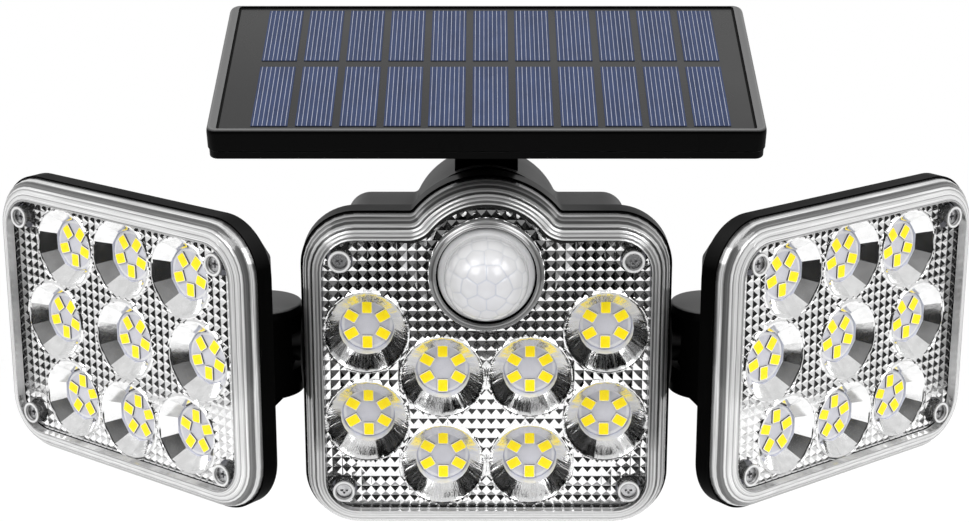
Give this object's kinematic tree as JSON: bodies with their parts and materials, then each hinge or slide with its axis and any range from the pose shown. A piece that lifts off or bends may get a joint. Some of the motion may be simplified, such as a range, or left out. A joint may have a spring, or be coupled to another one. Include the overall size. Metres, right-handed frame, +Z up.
{
  "type": "motion sensor security light",
  "caption": "Wall security light with a motion sensor dome, round LED cups behind clear covers, adjustable side heads and a tilting solar panel on top.",
  "frame": {"origin": "middle of the four wall-screw holes, on the wall plane behind the bracket", "axes": "+Z up the wall, the light faces -Y, +Y into the wall, +X to the right seen from the front"},
  "size_m": [0.253, 0.0645, 0.1294],
  "materials": {
    "black_plastic": "satin",
    "clear_plastic": "clear, moulded",
    "metallised_plastic": "mirror, pyramid textured",
    "led_package": "phosphor in a cream frame",
    "white_board": "satin",
    "green_board": "satin",
    "board_components": "satin",
    "steel": "bright",
    "painted_steel": "satin black",
    "sealing_rubber": "matt",
    "button_rubber": "matt",
    "milky_lens": "satin, translucent",
    "sensor_can": "satin",
    "battery_sleeve": "gloss",
    "panel_laminate": "gloss",
    "solar_silicon": "gloss"
  },
  "bodies": {
    "housing": {"rear_housing": "black_plastic", "back_cover": "black_plastic", "back_cover_screws": "steel", "wall_bracket": "painted_steel", "lock_screw": "steel", "battery_cell": "battery_sleeve", "driver_board": "green_board", "driver_parts": "board_components", "driver_screws": "steel", "button_switch": "board_components", "switch_board": "green_board", "centre_gasket": "sealing_rubber", "centre_led_board": "white_board", "centre_leds": "led_package", "centre_reflector": "metallised_plastic", "centre_cover": "clear_plastic", "centre_cover_screws": "steel", "pir_seat": "black_plastic", "pir_lens": "milky_lens", "pir_sensor": "sensor_can", "sensor_board": "green_board", "panel_neck": "black_plastic", "neck_screws": "steel", "left_friction_washer": "sealing_rubber", "right_friction_washer": "sealing_rubber"},
    "mode_button": {"mode_button": "button_rubber"},
    "panel": {"panel_frame": "black_plastic", "panel_back": "black_plastic", "solar_board": "panel_laminate", "solar_cells": "solar_silicon", "panel_hinge_bolt": "steel", "panel_hinge_nut": "steel"},
    "left_arm": {"left_arm": "black_plastic", "left_shaft_nut": "steel"},
    "left_head": {"left_head_shell": "black_plastic", "left_drum_cap": "black_plastic", "left_swivel_pin": "steel", "left_gasket": "sealing_rubber", "left_led_board": "white_board", "left_leds": "led_package", "left_reflector": "metallised_plastic", "left_clear_cover": "clear_plastic", "left_cover_screws": "steel"},
    "right_arm": {"right_arm": "black_plastic", "right_shaft_nut": "steel"},
    "right_head": {"right_head_shell": "black_plastic", "right_drum_cap": "black_plastic", "right_swivel_pin": "steel", "right_gasket": "sealing_rubber", "right_led_board": "white_board", "right_leds": "led_package", "right_reflector": "metallised_plastic", "right_clear_cover": "clear_plastic", "right_cover_screws": "steel"}
  },
  "joints": [
    {"name": "left_arm_tilt", "type": "hinge", "parent": "housing", "child": "left_arm", "pos_m": [-0.0577, -0.025, 0.003], "axis": [1, 0, 0], "range_deg": [-25, 25]},
    {"name": "right_arm_tilt", "type": "hinge", "parent": "housing", "child": "right_arm", "pos_m": [0.0577, -0.025, 0.003], "axis": [1, 0, 0], "range_deg": [-25, 25]},
    {"name": "left_head_swivel", "type": "hinge", "parent": "left_arm", "child": "left_head", "pos_m": [-0.0577, -0.025, 0.003], "axis": [0, 0, -1], "range_deg": [-5, 45]},
    {"name": "right_head_swivel", "type": "hinge", "parent": "right_arm", "child": "right_head", "pos_m": [0.0577, -0.025, 0.003], "axis": [0, 0, 1], "range_deg": [-5, 45]},
    {"name": "panel_tilt", "type": "hinge", "parent": "housing", "child": "panel", "pos_m": [0, -0.02, 0.0625], "axis": [1, 0, 0], "range_deg": [-20, 21]},
    {"name": "mode_button_press", "type": "slide", "parent": "housing", "child": "mode_button", "axis": [0, 0, 1], "range_m": [0, 0.001], "stiffness_N_per_m": 800, "springref_m": -0.0005}
  ]
}
